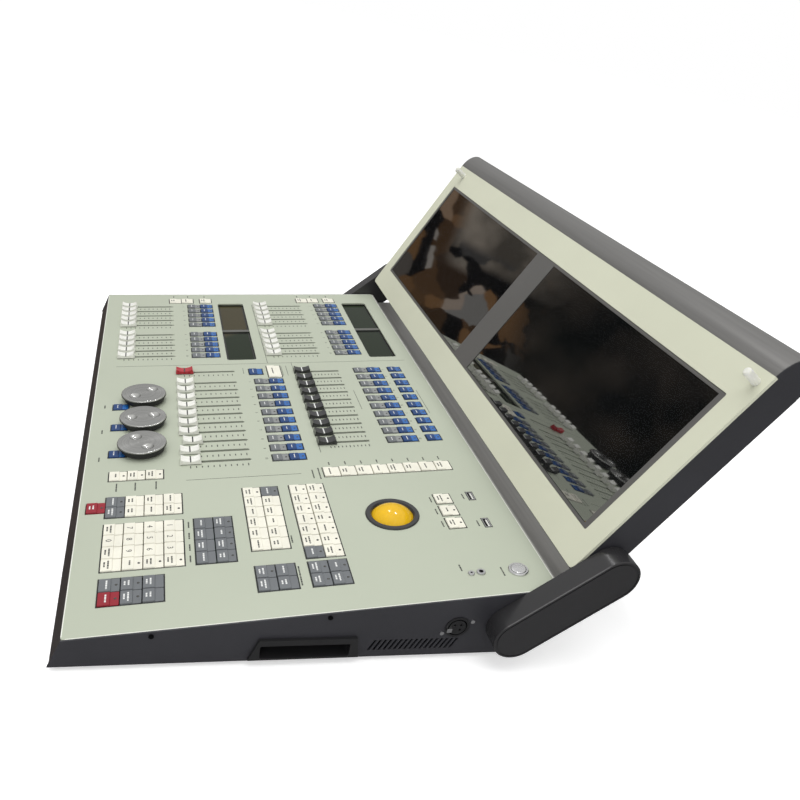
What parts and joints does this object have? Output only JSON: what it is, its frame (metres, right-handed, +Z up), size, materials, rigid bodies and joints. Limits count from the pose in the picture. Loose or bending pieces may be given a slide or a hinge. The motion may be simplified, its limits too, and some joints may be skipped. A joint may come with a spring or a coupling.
{
  "type": "lighting control desk",
  "caption": "Wedge-shaped lighting control desk with fader banks, key fields, encoder wheels, a trackball and a folding screen lid on two pivoting arms.",
  "frame": {"origin": "centre of the bounding box at the level of the surface the feet stand on", "axes": "+X to the operator's right along the desk's width, +Y away from the operator, +Z up"},
  "size_m": [0.7862, 0.5416, 0.2845],
  "materials": {
    "case_black": "satin fine-textured powder coat",
    "fascia_green": "satin smooth coat",
    "bezel_green": "satin smooth coat",
    "brushed_grey": "brushed anodised",
    "surround_grey": "satin",
    "arm_black": "satin powder coat",
    "moulded_black": "fine texture",
    "socket_black": "smooth",
    "bright_steel": "polished",
    "port_steel": "satin",
    "track_steel": "plated",
    "rubber_black": "matte",
    "screw_black": "black oxide",
    "small_screen": "gloss",
    "ring_black": "satin",
    "board_green": "solder mask",
    "dark_glass": "polished glass over a dark screen",
    "bumper_white": "translucent soft rubber",
    "turned_silver": "turned, fine circular grain",
    "ball_amber": "polished",
    "cap_white": "smooth",
    "cap_red": "smooth",
    "cap_black": "smooth",
    "key_grey": "satin moulded",
    "key_blue": "satin moulded",
    "key_white": "satin moulded",
    "key_red": "satin moulded"
  },
  "bodies": {
    "desk": {"base_tray": "case_black", "left_side_panel": "case_black", "right_side_panel": "case_black", "rear_panel": "case_black", "control_fascia": "fascia_green", "rear_trim_strip": "brushed_grey", "carry_handles": "moulded_black", "data_sockets": "socket_black", "side_socket_latch": "bright_steel", "rear_port_row": "port_steel", "power_inlet": "moulded_black", "feet": "rubber_black", "case_screws": "screw_black", "fascia_sockets": "port_steel", "channel_displays": "small_screen", "fader_tracks": "track_steel", "encoder_units": "track_steel", "trackball_housing": "moulded_black", "trackball_ring": "ring_black", "power_button_ring": "bright_steel", "key_boards": "board_green", "mainboard": "board_green", "power_supply": "track_steel", "shaft_bushes": "moulded_black"},
    "arms": {"right_arm": "arm_black", "left_arm": "arm_black", "arm_covers": "arm_black", "arm_shaft": "track_steel"},
    "lid": {"lid_back_shell": "case_black", "lid_bezel": "bezel_green", "lid_top_extrusion": "brushed_grey", "lid_cheeks": "case_black", "display_surround": "surround_grey", "display_glass": "dark_glass", "display_panels": "small_screen", "lid_bumpers": "bumper_white"},
    "wheel_1": {"encoder_wheel_1": "turned_silver"},
    "wheel_2": {"encoder_wheel_2": "turned_silver"},
    "wheel_3": {"encoder_wheel_3": "turned_silver"},
    "ball": {"trackball": "ball_amber"},
    "power_cap": {"power_button": "bright_steel"},
    "master_fader": {"master_fader_cap": "cap_red"},
    "front_bank_faders": {"front_bank_fader_caps": "cap_white"},
    "rear_bank_faders": {"rear_bank_fader_caps": "cap_white"},
    "short_faders": {"short_fader_caps": "cap_black"},
    "bank_grey": {"bank_grey_keys": "key_grey"},
    "bank_blue": {"bank_blue_keys": "key_blue"},
    "white": {"white_keys": "key_white"},
    "grey": {"grey_keys": "key_grey"},
    "red": {"red_keys": "key_red"},
    "fader_1": {"playback_fader_1": "cap_white"},
    "fader_2": {"playback_fader_2": "cap_white"},
    "fader_3": {"playback_fader_3": "cap_white"},
    "fader_4": {"playback_fader_4": "cap_white"},
    "fader_5": {"playback_fader_5": "cap_white"},
    "fader_6": {"playback_fader_6": "cap_white"},
    "fader_7": {"playback_fader_7": "cap_white"},
    "fader_8": {"playback_fader_8": "cap_white"},
    "fader_9": {"playback_fader_9": "cap_white"},
    "fader_10": {"playback_fader_10": "cap_white"}
  },
  "joints": [
    {"name": "arm_lift", "type": "hinge", "parent": "desk", "child": "arms", "pos_m": [0, 0.09696, 0.03842], "axis": [1, 0, 0], "range_deg": [0, 17]},
    {"name": "screen_fold", "type": "hinge", "parent": "arms", "child": "lid", "pos_m": [0, 0.16796, 0.10106], "axis": [1, 0, 0], "range_deg": [-30, 109.5]},
    {"name": "wheel_1_turn", "type": "hinge", "parent": "desk", "child": "wheel_1", "pos_m": [-0.0168, -0.20603, 0.04107], "axis": [0, -0.1144, 0.9934], "continuous": true},
    {"name": "wheel_2_turn", "type": "hinge", "parent": "desk", "child": "wheel_2", "pos_m": [0.0403, -0.20613, 0.04106], "axis": [0, -0.1144, 0.9934], "continuous": true},
    {"name": "wheel_3_turn", "type": "hinge", "parent": "desk", "child": "wheel_3", "pos_m": [0.0965, -0.20653, 0.04102], "axis": [0, -0.1144, 0.9934], "continuous": true},
    {"name": "trackball_roll", "type": "hinge", "parent": "desk", "child": "ball", "pos_m": [0.2426, 0.02148, 0.04533], "axis": [1, 0, 0], "continuous": true},
    {"name": "power_press", "type": "slide", "parent": "desk", "child": "power_cap", "axis": [0, 0.1144, -0.9934], "range_m": [0, 0.0012], "stiffness_N_per_m": 600, "springref_m": -0.0008},
    {"name": "grey_bank_key_press", "type": "slide", "parent": "desk", "child": "bank_grey", "axis": [0, 0.1144, -0.9934], "range_m": [0, 0.001], "stiffness_N_per_m": 1500, "springref_m": -0.0008},
    {"name": "blue_bank_key_press", "type": "slide", "parent": "desk", "child": "bank_blue", "axis": [0, 0.1144, -0.9934], "range_m": [0, 0.001], "stiffness_N_per_m": 1500, "springref_m": -0.0008},
    {"name": "white_key_press", "type": "slide", "parent": "desk", "child": "white", "axis": [0, 0.1144, -0.9934], "range_m": [0, 0.001], "stiffness_N_per_m": 1500, "springref_m": -0.0008},
    {"name": "grey_key_press", "type": "slide", "parent": "desk", "child": "grey", "axis": [0, 0.1144, -0.9934], "range_m": [0, 0.001], "stiffness_N_per_m": 1500, "springref_m": -0.0008},
    {"name": "red_key_press", "type": "slide", "parent": "desk", "child": "red", "axis": [0, 0.1144, -0.9934], "range_m": [0, 0.001], "stiffness_N_per_m": 1500, "springref_m": -0.0008},
    {"name": "master_fader_slide", "type": "slide", "parent": "desk", "child": "master_fader", "axis": [0, 0.9934, 0.1144], "range_m": [-0.0018, 0.0582]},
    {"name": "playback_fader_1_slide", "type": "slide", "parent": "desk", "child": "fader_1", "axis": [0, 0.9934, 0.1144], "range_m": [-0.0018, 0.0582]},
    {"name": "playback_fader_2_slide", "type": "slide", "parent": "desk", "child": "fader_2", "axis": [0, 0.9934, 0.1144], "range_m": [-0.0018, 0.0582]},
    {"name": "playback_fader_3_slide", "type": "slide", "parent": "desk", "child": "fader_3", "axis": [0, 0.9934, 0.1144], "range_m": [-0.0018, 0.0582]},
    {"name": "playback_fader_4_slide", "type": "slide", "parent": "desk", "child": "fader_4", "axis": [0, 0.9934, 0.1144], "range_m": [-0.0018, 0.0582]},
    {"name": "playback_fader_5_slide", "type": "slide", "parent": "desk", "child": "fader_5", "axis": [0, 0.9934, 0.1144], "range_m": [-0.0018, 0.0582]},
    {"name": "playback_fader_6_slide", "type": "slide", "parent": "desk", "child": "fader_6", "axis": [0, 0.9934, 0.1144], "range_m": [-0.0018, 0.0582]},
    {"name": "playback_fader_7_slide", "type": "slide", "parent": "desk", "child": "fader_7", "axis": [0, 0.9934, 0.1144], "range_m": [-0.0018, 0.0582]},
    {"name": "playback_fader_8_slide", "type": "slide", "parent": "desk", "child": "fader_8", "axis": [0, 0.9934, 0.1144], "range_m": [-0.0053, 0.0547]},
    {"name": "playback_fader_9_slide", "type": "slide", "parent": "desk", "child": "fader_9", "axis": [0, 0.9934, 0.1144], "range_m": [-0.0018, 0.0582]},
    {"name": "playback_fader_10_slide", "type": "slide", "parent": "desk", "child": "fader_10", "axis": [0, 0.9934, 0.1144], "range_m": [-0.0018, 0.0582]},
    {"name": "front_bank_slide", "type": "slide", "parent": "desk", "child": "front_bank_faders", "axis": [0, 0.9934, 0.1144], "range_m": [-0.0023, 0.0577]},
    {"name": "rear_bank_slide", "type": "slide", "parent": "desk", "child": "rear_bank_faders", "axis": [0, 0.9934, 0.1144], "range_m": [-0.0011, 0.0589]},
    {"name": "short_fader_slide", "type": "slide", "parent": "desk", "child": "short_faders", "axis": [0, 0.9934, 0.1144], "range_m": [0, 0.045]}
  ]
}
